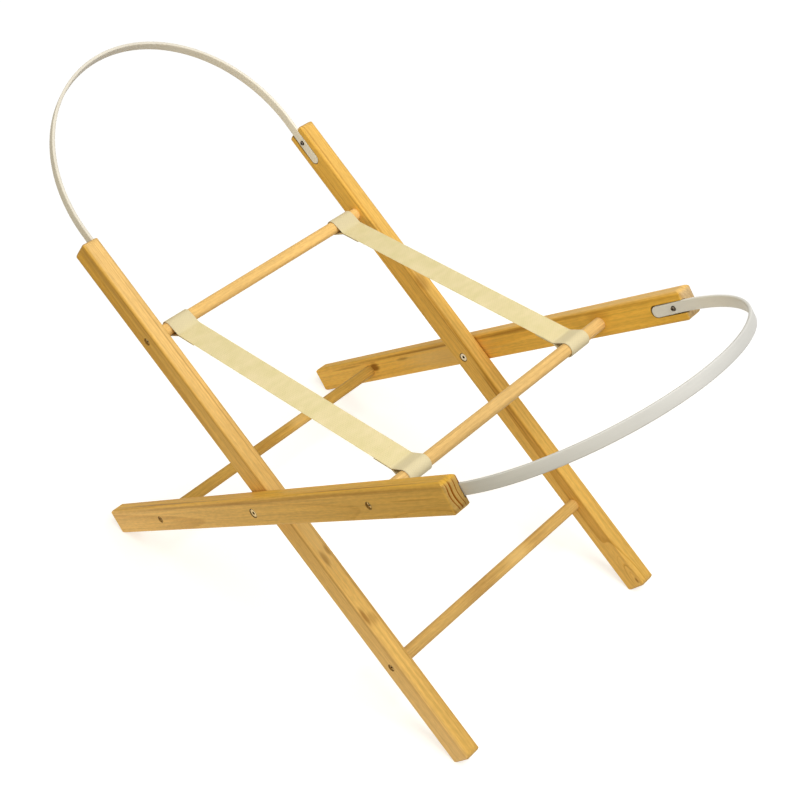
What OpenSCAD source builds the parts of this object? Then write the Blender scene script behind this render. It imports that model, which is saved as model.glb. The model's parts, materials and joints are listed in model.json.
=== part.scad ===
// Folding stand for a moses basket: two flat pine frames that cross on a pair of pivot bolts.
// Two webbing straps between the upper rails hold the frames open and carry the basket, and
// a sprung strip hoop stands on the top of each frame.
// Millimetres, +Z up. The origin is on the floor, in the middle of the open stand's length and width.
// The pivot axis is parallel to Y. Near is the -Y side, far is the +Y side, and the outer frame's
// top end points to +X.

/* [Stand] */
// Width across the outer faces of the outer legs
stand_w = 445; // [400:1:500]
// Angle between every leg and the floor
leg_angle = 36.85; // [32:0.05:42]

/* [Legs] */
// Length of a leg
leg_len = 789; // [740:1:840]
// Width of a leg, seen from the side
leg_w = 39; // [35:0.5:44]
// Thickness of a leg, across the stand
leg_t = 23; // [20:0.5:27]
// Rounding of a leg's edges
leg_r = 5; // [2:0.5:7]
// Rounding of a leg's end corners, seen from the side
leg_end_r = 10; // [4:0.5:11]
// Distance of the pivot from the foot end
pivot_from_foot = 399; // [380:1:420]
// Gap between the crossing legs
leg_gap = 1; // [0.6:0.1:2]

/* [Dowels] */
// Diameter of the rails and stretchers
dowel_d = 17; // [14:0.5:20]
// Distance of the upper rails from the legs' top ends
upper_dowel_from_top = 142; // [120:1:160]
// Distance of the lower stretchers from the legs' feet
lower_dowel_from_foot = 145; // [125:1:165]
// Depth of a dowel's socket in the leg
socket_depth = 12; // [9:0.5:14]

/* [Straps] */
// Width of the webbing
strap_w = 35; // [25:1:45]
// Thickness of the webbing
strap_t = 1.6; // [1:0.1:2.5]
// Gap between a strap's edge and the inner leg beside it
strap_inset = 11; // [5:1:40]
// Distance from a rail's axis to the seam that closes the loop
loop_reach = 19; // [16:0.5:26]
// Length of the sewn overlap behind the seam
overlap_len = 28; // [15:1:45]

/* [Hoops] */
// Width of the hoop's strip
hoop_w = 15; // [11:0.5:18]
// Thickness of the hoop's strip
hoop_t = 4; // [2.5:0.25:5]
// Start of the outer frame's arch, past the legs' top ends
outer_hoop_lead = -15; // [-15:1:20]
// Rise of the outer frame's arch above its start
outer_hoop_rise = 210; // [170:1:230]
// Start of the inner frame's arch, past the legs' top ends
inner_hoop_lead = 14; // [-20:1:20]
// Rise of the inner frame's arch above its start
inner_hoop_rise = 195; // [170:1:230]
// Length of the recess for a hoop's end, from the leg's top end
recess_len = 54; // [45:1:65]
// Distance of a hoop's screw from the leg's top end
hoop_screw_s = 19; // [15:1:25]

/* [Fasteners] */
// Shank diameter of the dowel screws
dowel_screw_d = 4.5; // [3.5:0.5:5.5]
// Head diameter of the dowel screws
dowel_screw_head_d = 8.6; // [7.5:0.1:10]
// Length of the dowel screws
dowel_screw_len = 45; // [38:1:60]
// Depth of the dowel screws' heads below the leg's face
dowel_screw_sink = 1.4; // [0.5:0.1:2.5]
// Shank diameter of the hoop screws
hoop_screw_d = 3.5; // [3:0.1:4]
// Head diameter of the hoop screws
hoop_screw_head_d = 7; // [6:0.1:8]
// Head height of the hoop screws
hoop_screw_head_h = 2; // [1.5:0.1:2.5]
// Depth of the hoop screws in the leg
hoop_screw_bite = 11; // [8:0.5:12]
// Diameter of the sleeve nut's barrel, which the inner legs turn on
barrel_d = 8; // [7:0.5:9.5]
// Diameter of the pivot bolt's shank
bolt_d = 6; // [4:0.5:6]
// Head diameter of the pivot bolt and sleeve nut
pivot_head_d = 11; // [10.5:0.5:13]
// Head height of the pivot bolt and sleeve nut
pivot_head_h = 2.2; // [1.6:0.1:3]
// Width across the corners of the hex sockets
hex_d = 4.6; // [3:0.1:5]
// Outer diameter of the pivot washer
washer_d = 18; // [14:1:24]

/* [Hidden] */
$fn = 64;

// Clearances
overrun = 1;
glue_gap = 0.1;
running_gap = 0.05;
soft_gap = 0.3;
shank_gap = 0.3;
recess_gap = 0.8;
counterbore_gap = 0.6;

// Legs, in their own frame: X from the pivot to the top end, Y outwards, Z across the leg
top_s = leg_len - pivot_from_foot;
foot_s = -pivot_from_foot;
upper_dowel_s = top_s - upper_dowel_from_top;
lower_dowel_s = foot_s + lower_dowel_from_foot;
pivot_z =
    (pivot_from_foot - leg_end_r) * sin(leg_angle)
    + (leg_w / 2 - leg_end_r) * cos(leg_angle)
    + leg_end_r;
outer_face_y = stand_w / 2 - leg_t;
inner_face_y = outer_face_y - leg_gap - leg_t;

// Dowel screws: the head's cone meets the shank
screw_cone_h = (dowel_screw_head_d - dowel_screw_d) / 2;
screw_tip_len = 2 * dowel_screw_d;
cross_depth_share = 0.7;
cross_w_share = 0.16;
cross_len_share = 0.62;

// Pivot: heads lie a little below the legs' faces
head_sink = 0.6;
counterbore_depth = pivot_head_h + head_sink;
counterbore_d = pivot_head_d + 2 * counterbore_gap;
barrel_len = 2 * leg_t + leg_gap - 2 * counterbore_depth - head_sink;
hex_depth = pivot_head_h + head_sink;
nut_wall = hex_depth + head_sink;
bolt_len = barrel_len + head_sink - nut_wall;

// Hoops: the strip's ends lie flush in their recesses, where their play lets each hoop spring up
// about its screws until its ends are close to the recesses' sides
hoop_screw_tip = hoop_screw_d;
arch_steps = 72;
tail_len = recess_len - recess_gap - hoop_w / 2;
screw_s = top_s - hoop_screw_s;
hoop_lean = asin((recess_gap - glue_gap) / max(tail_len - hoop_screw_s, hoop_screw_s));

// The pivot stands off the middle, because the two hoops reach out by different lengths
function hoop_reach(lead, rise) =
    screw_s * cos(leg_angle)
    + (hoop_screw_s + lead + rise + hoop_t / 2) * cos(leg_angle + hoop_lean)
    + hoop_w / 2 * sin(leg_angle + hoop_lean);
outer_reach = hoop_reach(outer_hoop_lead, outer_hoop_rise);
inner_reach = hoop_reach(inner_hoop_lead, inner_hoop_rise);
pivot_x = (inner_reach - outer_reach) / 2;

// Straps: the two plies of a loop meet at the seam
strap_y = inner_face_y - strap_inset - strap_w / 2;
upper_x = upper_dowel_s * cos(leg_angle);
upper_z = pivot_z + upper_dowel_s * sin(leg_angle);
loop_in_r = dowel_d / 2 + soft_gap;
loop_out_r = loop_in_r + strap_t;
loop_turn = acos(loop_in_r / loop_reach);
loop_steps = 32;

pine = [0.93, 0.72, 0.40];
rail_pine = [0.90, 0.69, 0.40];
webbing = [0.91, 0.86, 0.66];
ivory = [0.86, 0.84, 0.79];
brass = [0.68, 0.55, 0.30];
steel = [0.75, 0.75, 0.74];

// Frames at their places: children are drawn in the frame of a leg
module outer_frame() {
    translate([pivot_x, 0, pivot_z])
        rotate([0, -leg_angle, 0])
            children();
}

module inner_frame() {
    translate([pivot_x, 0, pivot_z])
        mirror([1, 0, 0])
            rotate([0, -leg_angle, 0])
                children();
}

// Children at a face on the far side, or mirrored to the near side
module far_side(face_y) {
    translate([0, face_y, 0])
        children();
}

module near_side(face_y) {
    mirror([0, 1, 0])
        far_side(face_y)
            children();
}

module both_sides(face_y) {
    far_side(face_y) children();
    near_side(face_y) children();
}

// A cylinder along +Y from a face
module along_y(d, h) {
    rotate([-90, 0, 0])
        cylinder(d = d, h = h);
}

// Rectangle with round corners, centred
module round_rect(x, y, r) {
    square([x, y - 2 * r], center = true);
    square([x - 2 * r, y], center = true);
    for (i = [-1, 1], j = [-1, 1])
        translate([i * (x / 2 - r), j * (y / 2 - r)])
            circle(r = r);
}

// A bar with every edge rounded, from the foot to the top end, inner face at Y = 0
module leg_blank() {
    mid_s = (top_s + foot_s) / 2;
    translate([mid_s, leg_t / 2, 0])
        intersection() {
            rotate([90, 0, 90])
                linear_extrude(leg_len + overrun, center = true)
                    round_rect(leg_t, leg_w, leg_r);
            rotate([90, 0, 0])
                linear_extrude(leg_t + overrun, center = true)
                    round_rect(leg_len, leg_w, leg_end_r);
            linear_extrude(leg_w + overrun, center = true)
                round_rect(leg_len, leg_t, leg_r);
        }
}

// Socket for a dowel's end with the screw's hole and countersink behind it
module dowel_joint_cut(s) {
    head_y = leg_t - dowel_screw_sink;
    translate([s, -overrun, 0])
        along_y(dowel_d + 2 * glue_gap, socket_depth + overrun);
    translate([s, 0, 0])
        along_y(dowel_screw_d + 2 * shank_gap, leg_t);
    translate([s, head_y - screw_cone_h, 0])
        rotate([-90, 0, 0])
            cylinder(
                d1 = dowel_screw_d + 2 * glue_gap,
                d2 = dowel_screw_head_d + 2 * glue_gap,
                h = screw_cone_h
            );
    translate([s, head_y, 0])
        along_y(dowel_screw_head_d + 2 * glue_gap, dowel_screw_sink + overrun);
}

// Round-ended recess for a hoop's end, open at the top end, with the screw's pilot hole
module hoop_recess_cut() {
    recess_w = hoop_w + 2 * recess_gap;
    round_s = top_s - recess_len + recess_w / 2;
    translate([round_s, -overrun, -recess_w / 2])
        cube([top_s + overrun - round_s, hoop_t + overrun, recess_w]);
    translate([round_s, -overrun, 0])
        along_y(recess_w, hoop_t + overrun);
    translate([screw_s, 0, 0])
        along_y(hoop_screw_d + 2 * glue_gap, hoop_t + hoop_screw_bite);
}

// A leg with its pivot bore; the head's counterbore is in the outer or in the inner face
module leg(head_in_outer_face) {
    difference() {
        leg_blank();
        dowel_joint_cut(upper_dowel_s);
        dowel_joint_cut(lower_dowel_s);
        hoop_recess_cut();
        translate([0, -overrun, 0])
            along_y(barrel_d + 2 * running_gap, leg_t + 2 * overrun);
        translate([0, head_in_outer_face ? leg_t - counterbore_depth : -overrun, 0])
            along_y(counterbore_d, counterbore_depth + overrun);
    }
}

module outer_leg_near() {
    color(pine)
        outer_frame()
            near_side(outer_face_y)
                leg(true);
}

module outer_leg_far() {
    color(pine)
        outer_frame()
            far_side(outer_face_y)
                leg(true);
}

module inner_leg_near() {
    color(pine)
        inner_frame()
            near_side(inner_face_y)
                leg(false);
}

module inner_leg_far() {
    color(pine)
        inner_frame()
            far_side(inner_face_y)
                leg(false);
}

// A dowel between two legs, with a pilot hole for the screw in each end
module dowel(s, face_y) {
    end_y = face_y + socket_depth - glue_gap;
    pilot_len = dowel_screw_len - (leg_t - dowel_screw_sink - socket_depth);
    translate([s, 0, 0])
        difference() {
            translate([0, -end_y, 0])
                along_y(dowel_d, 2 * end_y);
            both_sides(end_y - pilot_len)
                along_y(dowel_screw_d + 2 * glue_gap, pilot_len + overrun);
        }
}

module outer_upper_dowel() {
    color(rail_pine)
        outer_frame()
            dowel(upper_dowel_s, outer_face_y);
}

module outer_lower_dowel() {
    color(rail_pine)
        outer_frame()
            dowel(lower_dowel_s, outer_face_y);
}

module inner_upper_dowel() {
    color(rail_pine)
        inner_frame()
            dowel(upper_dowel_s, inner_face_y);
}

module inner_lower_dowel() {
    color(rail_pine)
        inner_frame()
            dowel(lower_dowel_s, inner_face_y);
}

// Cross slot of a screw head, cut down from Z = 0
module cross_slot(d, depth) {
    for (a = [0, 90])
        rotate([0, 0, a])
            translate([0, 0, (overrun - depth) / 2])
                cube([cross_len_share * d, cross_w_share * d, depth + overrun], center = true);
}

// Countersunk wood screw, head up, top of the head at Z = 0
module countersunk_screw() {
    difference() {
        union() {
            translate([0, 0, -screw_cone_h])
                cylinder(d1 = dowel_screw_d, d2 = dowel_screw_head_d, h = screw_cone_h);
            translate([0, 0, screw_tip_len - dowel_screw_len])
                cylinder(d = dowel_screw_d, h = dowel_screw_len - screw_tip_len - screw_cone_h);
            translate([0, 0, -dowel_screw_len])
                cylinder(d1 = 0, d2 = dowel_screw_d, h = screw_tip_len);
        }
        cross_slot(dowel_screw_head_d, cross_depth_share * screw_cone_h);
    }
}

// The two screws at a dowel's ends, driven in from the legs' outer faces
module dowel_screws(s, face_y) {
    both_sides(face_y + leg_t - dowel_screw_sink)
        translate([s, 0, 0])
            rotate([-90, 0, 0])
                countersunk_screw();
}

module outer_upper_screws() {
    color(brass)
        outer_frame()
            dowel_screws(upper_dowel_s, outer_face_y);
}

module outer_lower_screws() {
    color(brass)
        outer_frame()
            dowel_screws(lower_dowel_s, outer_face_y);
}

module inner_upper_screws() {
    color(brass)
        inner_frame()
            dowel_screws(upper_dowel_s, inner_face_y);
}

module inner_lower_screws() {
    color(brass)
        inner_frame()
            dowel_screws(lower_dowel_s, inner_face_y);
}

// Point of a half ellipse, moved off it by a distance along its normal
function arch_point(span, rise, turn, off) =
    let (normal = [rise * cos(turn), span * sin(turn)])
    [span * cos(turn), rise * sin(turn)] + off / norm(normal) * normal;

// The strip seen on its edge: half an ellipse with straight ends of the given length
module arch_outline(span, rise, end_len) {
    half_t = hoop_t / 2;
    turns = [for (i = [0:arch_steps]) 180 * i / arch_steps];
    outside = [for (turn = turns) arch_point(span, rise, turn, half_t)];
    inside = [for (i = [arch_steps:-1:0]) arch_point(span, rise, turns[i], -half_t)];
    polygon(concat(
        [[span + half_t, -end_len]], outside, [[-span - half_t, -end_len]],
        [[half_t - span, -end_len]], inside, [[span - half_t, -end_len]]
    ));
}

// A hoop about its screws: arch towards +X, strip across the legs, round ends in the recesses
module hoop_strip(face_y, lead, rise) {
    span = face_y + hoop_t / 2;
    difference() {
        union() {
            translate([hoop_screw_s + lead, 0, 0])
                rotate([0, 0, -90])
                    linear_extrude(hoop_w, center = true)
                        arch_outline(span, rise, lead + tail_len);
            both_sides(face_y)
                translate([hoop_screw_s - tail_len, 0, 0])
                    along_y(hoop_w, hoop_t);
        }
        both_sides(face_y - overrun)
            along_y(hoop_screw_d + 2 * glue_gap, hoop_t + 2 * overrun);
    }
}

// A hoop at its place on the legs
module hoop(face_y, lead, rise) {
    translate([screw_s, 0, 0])
        rotate([0, -hoop_lean, 0])
            hoop_strip(face_y, lead, rise);
}

module outer_hoop() {
    color(ivory)
        outer_frame()
            hoop(outer_face_y, outer_hoop_lead, outer_hoop_rise);
}

module inner_hoop() {
    color(ivory)
        inner_frame()
            hoop(inner_face_y, inner_hoop_lead, inner_hoop_rise);
}

// Pan-head screw, head down on Z = 0, shank upwards
module pan_screw() {
    shank_len = hoop_t + hoop_screw_bite - glue_gap;
    difference() {
        union() {
            translate([0, 0, -hoop_screw_head_h])
                cylinder(
                    d1 = hoop_screw_head_d - hoop_screw_head_h,
                    d2 = hoop_screw_head_d,
                    h = hoop_screw_head_h
                );
            cylinder(d = hoop_screw_d, h = shank_len - hoop_screw_tip);
            translate([0, 0, shank_len - hoop_screw_tip])
                cylinder(d1 = hoop_screw_d, d2 = 0, h = hoop_screw_tip);
        }
        translate([0, 0, -hoop_screw_head_h])
            mirror([0, 0, 1])
                cross_slot(hoop_screw_head_d, cross_depth_share * hoop_screw_head_h);
    }
}

module hoop_screws(face_y) {
    both_sides(face_y)
        translate([screw_s, 0, 0])
            rotate([-90, 0, 0])
                pan_screw();
}

module outer_hoop_screws() {
    color(steel)
        outer_frame()
            hoop_screws(outer_face_y);
}

module inner_hoop_screws() {
    color(steel)
        inner_frame()
            hoop_screws(inner_face_y);
}

// Head of the pivot bolt or sleeve nut, under side at Z = 0, top at pivot_head_h
module pivot_head() {
    cylinder(d = pivot_head_d, h = pivot_head_h);
}

module hex_socket() {
    translate([0, 0, pivot_head_h - hex_depth])
        cylinder(d = hex_d, h = hex_depth + overrun, $fn = 6);
}

// Bolt from the outer face inwards: under side of the head at Y = 0, shank towards -Y
module pivot_bolt() {
    rotate([-90, 0, 0])
        difference() {
            union() {
                pivot_head();
                translate([0, 0, -bolt_len])
                    cylinder(d = bolt_d, h = bolt_len);
            }
            hex_socket();
        }
}

// Sleeve nut from the inner face outwards: under side of the head at Y = 0, barrel towards +Y
module sleeve_nut() {
    rotate([90, 0, 0])
        difference() {
            union() {
                pivot_head();
                translate([0, 0, -barrel_len])
                    cylinder(d = barrel_d, h = barrel_len);
            }
            hex_socket();
            translate([0, 0, -barrel_len - overrun])
                cylinder(d = bolt_d + 2 * glue_gap, h = barrel_len + overrun - nut_wall);
        }
}

module pivot_bolt_near() {
    color(steel)
        outer_frame()
            near_side(outer_face_y + leg_t - counterbore_depth)
                pivot_bolt();
}

module pivot_bolt_far() {
    color(steel)
        outer_frame()
            far_side(outer_face_y + leg_t - counterbore_depth)
                pivot_bolt();
}

module sleeve_nut_near() {
    color(steel)
        outer_frame()
            near_side(inner_face_y + counterbore_depth - running_gap)
                sleeve_nut();
}

module sleeve_nut_far() {
    color(steel)
        outer_frame()
            far_side(inner_face_y + counterbore_depth - running_gap)
                sleeve_nut();
}

// Washer in the gap between the crossing legs
module pivot_washer() {
    washer_t = leg_gap - 2 * running_gap;
    translate([0, running_gap - leg_gap, 0])
        difference() {
            along_y(washer_d, washer_t);
            translate([0, -overrun, 0])
                along_y(barrel_d + 2 * glue_gap, washer_t + 2 * overrun);
        }
}

module pivot_washer_near() {
    color(steel)
        outer_frame()
            near_side(outer_face_y)
                pivot_washer();
}

module pivot_washer_far() {
    color(steel)
        outer_frame()
            far_side(outer_face_y)
                pivot_washer();
}

// Points round a rail at the origin, from below a loop's tip at +X to above it
function loop_arc(r) = [
    for (i = [0:loop_steps])
        let (turn = -loop_turn - i * (360 - 2 * loop_turn) / loop_steps)
        r * [cos(turn), sin(turn)]
];

// A strap seen from the side: one ply between the rails, and at each end a loop with its sewn overlap
module strap_outline() {
    seam_x = (loop_out_r - strap_t * sin(loop_turn)) / cos(loop_turn);
    ply_x = loop_reach + overlap_len;
    below = [[ply_x, 0], [ply_x, -strap_t], [seam_x, -strap_t]];
    loop = concat(below, loop_arc(loop_out_r), [[seam_x, strap_t]]);
    left = [for (p = loop) p - [upper_x, 0]];
    right = [for (i = [len(left) - 1:-1:0]) [-left[i][0], left[i][1]]];
    difference() {
        polygon(concat(left, right));
        for (side = [0, 1])
            mirror([side, 0])
                translate([-upper_x, 0])
                    polygon(concat(loop_arc(loop_in_r), [[loop_reach, 0]]));
    }
}

module strap() {
    translate([pivot_x, strap_w / 2, upper_z])
        rotate([90, 0, 0])
            linear_extrude(strap_w)
                strap_outline();
}

module strap_near() {
    color(webbing)
        near_side(strap_y)
            strap();
}

module strap_far() {
    color(webbing)
        far_side(strap_y)
            strap();
}

outer_leg_near();
outer_leg_far();
inner_leg_near();
inner_leg_far();
outer_upper_dowel();
outer_lower_dowel();
inner_upper_dowel();
inner_lower_dowel();
strap_near();
strap_far();
outer_hoop();
inner_hoop();
outer_upper_screws();
outer_lower_screws();
inner_upper_screws();
inner_lower_screws();
outer_hoop_screws();
inner_hoop_screws();
pivot_bolt_near();
pivot_bolt_far();
sleeve_nut_near();
sleeve_nut_far();
pivot_washer_near();
pivot_washer_far();
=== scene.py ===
# %% [markdown]
# # A folding stand for a moses basket
#
# The stand is two flat frames of varnished pine that cross on a pair of bolts. Two webbing straps
# between the upper rails keep the frames from sliding apart and carry the basket, and a sprung
# plastic hoop on the top of each frame keeps the basket from slipping off.
#
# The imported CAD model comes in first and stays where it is. The legs, rails and fasteners have the
# right shape already, so they only get finishes. The straps and hoops have soft edges that are
# easier to sweep here, so they are made new and stand for their CAD solids.

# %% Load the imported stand
import json
import math

import bpy
from mathutils import Matrix, Vector


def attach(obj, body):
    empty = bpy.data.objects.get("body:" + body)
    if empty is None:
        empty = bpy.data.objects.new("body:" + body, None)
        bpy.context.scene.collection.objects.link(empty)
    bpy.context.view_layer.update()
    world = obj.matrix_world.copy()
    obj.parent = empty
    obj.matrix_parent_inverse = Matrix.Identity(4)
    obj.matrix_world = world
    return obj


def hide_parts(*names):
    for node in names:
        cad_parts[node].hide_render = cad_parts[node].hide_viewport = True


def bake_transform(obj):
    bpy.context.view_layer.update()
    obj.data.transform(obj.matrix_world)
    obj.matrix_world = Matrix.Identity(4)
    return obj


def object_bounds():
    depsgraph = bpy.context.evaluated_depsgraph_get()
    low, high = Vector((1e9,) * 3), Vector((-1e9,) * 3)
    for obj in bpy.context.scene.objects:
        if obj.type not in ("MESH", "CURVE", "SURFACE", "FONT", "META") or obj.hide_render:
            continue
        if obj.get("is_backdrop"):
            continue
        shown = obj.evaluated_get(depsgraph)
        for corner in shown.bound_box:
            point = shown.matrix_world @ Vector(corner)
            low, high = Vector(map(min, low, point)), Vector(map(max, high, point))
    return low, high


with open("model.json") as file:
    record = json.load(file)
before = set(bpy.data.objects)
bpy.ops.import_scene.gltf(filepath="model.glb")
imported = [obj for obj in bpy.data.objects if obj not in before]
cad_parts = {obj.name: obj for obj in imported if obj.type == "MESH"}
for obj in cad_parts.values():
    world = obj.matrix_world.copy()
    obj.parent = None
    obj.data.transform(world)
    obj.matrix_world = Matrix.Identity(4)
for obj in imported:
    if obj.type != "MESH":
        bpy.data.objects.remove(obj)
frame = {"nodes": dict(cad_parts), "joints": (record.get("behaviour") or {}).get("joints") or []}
cad_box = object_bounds()

# %% [markdown]
# ## Sizes
#
# Everything below is placed from the same few sizes as the CAD source, so nothing has to be fitted
# by eye. A leg has its own axes: x runs from the pivot to the top end, y across the stand, and
# z across the leg. The inner frame is the mirror image of the outer one at the pivot.

# %% Sizes of the stand, in metres
mm = 0.001
pivot = Vector(frame["joints"][0]["pos_m"])
leg_angle = math.radians(36.85)
leg_top = 390 * mm
leg_foot = -399 * mm
leg_half_t = 11.5 * mm
leg_y = {"outer": 211 * mm, "inner": 187 * mm}
inside_y = {which: y - leg_half_t for which, y in leg_y.items()}
outside_y = {which: y + leg_half_t for which, y in leg_y.items()}
lean_x = {"outer": 1, "inner": -1}
side_y = {"near": -1, "far": 1}
upper_rail = 248 * mm
lower_rail = -254 * mm


def along_leg(which, distance):
    """A point on the middle plane of a frame, at a distance from the pivot along its legs."""
    step = Vector((lean_x[which] * math.cos(leg_angle), 0, math.sin(leg_angle)))
    return pivot + distance * step


print("upper rails at", along_leg("outer", upper_rail), along_leg("inner", upper_rail))

# %% [markdown]
# ## Camera
#
# The camera stands in front of a corner of the stand and looks down at about 42 degrees. Its place
# and lens come from a fit of the screws, leg ends and rail ends of the model to the photograph, so
# the perspective is the photograph's own. Depth of field stays off.

# %% Camera at the photograph's place
camera_data = bpy.data.cameras.new("photo_camera")
camera_data.sensor_width = 36
camera_data.lens = 61.09
camera = bpy.data.objects.new("photo_camera", camera_data)
bpy.context.scene.collection.objects.link(camera)
turn = Matrix.Rotation(math.radians(42.461), 4, "Z")
tilt = Matrix.Rotation(math.radians(48.38), 4, "X")
roll = Matrix.Rotation(math.radians(-0.696), 4, "Z")
camera_place = Vector((931.55, -958.15, 1463.74)) * mm
camera.matrix_world = Matrix.Translation(camera_place) @ turn @ tilt @ roll
bpy.context.scene.camera = camera
print("camera is", round(camera_place.length, 2), "m from the middle of the floor under the stand")

# %% [markdown]
# ## Helpers for finishes
#
# Colours are easiest to read as sRGB hex values, as a paint program shows them, but shader sockets
# take linear light, so one function converts them. Every finish is a small graph of nodes, and one
# function adds a node. Its kind is the node's Blender type without the ShaderNode in front. An input
# may be a plain value, an output of another node, or a node, which stands for its first output in use.
#
# Inputs go by name, or by number where that is shorter. A Map Range takes its value at 0, the range
# it comes from at 1 and 2 and the range it goes to at 3 and 4. A Mix takes its share at 0 and then two
# vectors at 4 and 5 or two colours at 6 and 7.

# %% Colour and node helpers
def linear(hex_colour):
    """An sRGB hex colour as linear RGBA."""
    parts = [int(hex_colour[i:i + 2], 16) / 255 for i in (1, 3, 5)]
    rgb = [p / 12.92 if p <= 0.04045 else ((p + 0.055) / 1.055) ** 2.4 for p in parts]
    return (*rgb, 1.0)


def add(tree, kind, inputs, stops=(), **settings):
    """Adds a node with its settings, its inputs as values or links, and a colour ramp's stops."""
    made = tree.nodes.new("ShaderNode" + kind)
    for name, value in settings.items():
        setattr(made, name, value)
    for name, value in inputs.items():
        if isinstance(value, bpy.types.Node):
            value = next(output for output in value.outputs if output.enabled)
        if isinstance(value, bpy.types.NodeSocket):
            tree.links.new(value, made.inputs[name])
        else:
            made.inputs[name].default_value = value
    for i, (position, colour) in enumerate(stops):
        ramp = made.color_ramp.elements
        stop = ramp[i] if i < len(ramp) else ramp.new(position)
        stop.position = position
        stop.color = linear(colour)
    return made


def empty_finish(name):
    """A new material with an empty node tree."""
    finish = bpy.data.materials.new(name)
    finish.use_nodes = True
    finish.node_tree.nodes.clear()
    return finish, finish.node_tree


print("pine yellow in linear light:", [round(c, 3) for c in linear("#EABD66")])

# %% [markdown]
# ## Floor, world and light
#
# The photograph is lit softly by one large lamp, high on the right, and by a bright wall in front, and
# its background is white. The stand is on a sheet of white paper, which throws light up at the lower
# parts of the legs. A white floor that went on for ever would throw up so much that the sides of the
# legs lose their shade, so the paper ends a little way outside the stand and a grey floor follows.
#
# The floor is brightened only where the camera, a reflection or glass looks at it, the grey part more
# than the paper, so that the camera sees one even white. The floor's own shading stays under that,
# which keeps the stand's soft shadow.

# %% White paper on a grey floor, both white to the camera
sheet_r = 0.62
sheet_fade = 0.2
paper = "#DCDCDE"
paper_lift = 0.62
grey_floor = "#6A6A6C"
grey_floor_lift = 0.95


def looked_at(tree):
    """1 where the camera, a reflection or glass looks straight at a surface, and 0 elsewhere."""
    ray = add(tree, "LightPath", {}).outputs
    bounced = {0: ray["Is Glossy Ray"], 1: ray["Is Transmission Ray"]}
    mirror = add(tree, "Math", bounced, operation="MAXIMUM")
    return add(tree, "Math", {0: ray["Is Camera Ray"], 1: mirror}, operation="MAXIMUM")


floor_finish, tree = empty_finish("white_paper_on_studio_floor")
place = add(tree, "TexCoord", {}).outputs["Object"]
far = add(tree, "VectorMath", {0: place}, operation="LENGTH")
off_sheet = add(tree, "MapRange", {0: far, 1: sheet_r, 2: sheet_r + sheet_fade})
grey = add(tree, "Mix", {0: off_sheet, 6: linear(paper), 7: linear(grey_floor)}, data_type="RGBA")
lift = add(tree, "MapRange", {0: off_sheet, 3: paper_lift, 4: grey_floor_lift})
lift = add(tree, "Math", {0: looked_at(tree), 1: lift}, operation="MULTIPLY")
paint = add(tree, "BsdfDiffuse", {"Color": grey})
glow = add(tree, "Emission", {"Color": (1, 1, 1, 1), "Strength": lift})
both = add(tree, "AddShader", {0: paint, 1: glow})
add(tree, "OutputMaterial", {"Surface": both})
print("paper", 2 * sheet_r, "m across, then grey floor")

# %% [markdown]
# The floor itself is one large square. Every new mesh of this scene is made in the same way, from points
# and faces, so that gets a function of its own.

# %% The floor
floor_half = 8.0


def new_piece(name, points, faces, finish):
    """A mesh with a finish, put into the scene."""
    mesh = bpy.data.meshes.new(name)
    mesh.from_pydata(points, [], faces)
    mesh.materials.append(finish)
    piece = bpy.data.objects.new(name, mesh)
    bpy.context.scene.collection.objects.link(piece)
    return piece


corners = [Vector((x, y, 0)) * floor_half for x, y in ((-1, -1), (1, -1), (1, 1), (-1, 1))]
floor = new_piece("studio_floor", corners, [(0, 1, 2, 3)], floor_finish)
floor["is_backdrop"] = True
print("floor:", 2 * floor_half, "m square")

# %% [markdown]
# The world is the light that comes from all over the room. The shaded sides in the photograph are
# warmer than the lit ones, so the room's light is warm and the lamp's white. A picture of a studio could
# be wrapped round the scene, but one even colour is all that soft light needs. It has a plain level,
# and it is white only where it is looked at, as the floor is.

# %% World
room_warmth = "#FFF2D0"
room_level = 0.4
world = bpy.data.worlds.new("bright_studio")
bpy.context.scene.world = world
world.use_nodes = True
tree = world.node_tree
tree.nodes.clear()
room = add(tree, "Background", {"Color": linear(room_warmth), "Strength": room_level})
white = add(tree, "Background", {"Color": (1, 1, 1, 1), "Strength": 1.0})
both = add(tree, "MixShader", {0: looked_at(tree), 1: room, 2: white})
add(tree, "OutputWorld", {"Surface": both})
print("room light:", room_warmth, "at a level of", room_level)

# %% [markdown]
# Two square lamps stand for the large lamp and the bright wall. A large lamp near the stand gives
# shadows with wide soft edges, where a small or distant one would draw them hard.

# %% Lamps
stand_middle = Vector((0, 0, 0.32))


def softbox(name, way, away, size, watts, colour):
    """A square lamp that looks at the stand from a direction and a distance."""
    lamp_data = bpy.data.lights.new(name, "AREA")
    lamp_data.shape = "SQUARE"
    lamp_data.size = size
    lamp_data.energy = watts
    lamp_data.color = linear(colour)[:3]
    lamp = bpy.data.objects.new(name, lamp_data)
    way = Vector(way).normalized()
    lamp.location = stand_middle + away * way
    lamp.rotation_euler = way.to_track_quat("Z", "Y").to_euler()
    bpy.context.scene.collection.objects.link(lamp)
    print(name, "at", [round(c, 2) for c in lamp.location])


softbox("softbox_above", way=(0.47, -0.01, 0.88), away=2.4, size=1.6, watts=41, colour="#FFFFFF")
softbox("wall_in_front", way=(0.1, -0.97, 0.22), away=3.0, size=2.0, watts=21, colour=room_warmth)
bpy.context.scene.view_settings.view_transform = "Standard"
print("view transform:", bpy.context.scene.view_settings.view_transform)

# %% [markdown]
# ## Patterns that run along a piece
#
# Wood fibres, woven cloth and extruded plastic all have marks that are long one way and narrow the
# other. They could be painted as lines, but real ones start and stop anywhere. So they are noise that
# is drawn out along the piece, and its patches are given by their length and width on the real thing.
# Noise stays mostly between 0.3 and 0.7, so tones and colours are spread over that range.

# %% Noise drawn out along a piece
noise_low = 0.3
noise_high = 0.7


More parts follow.
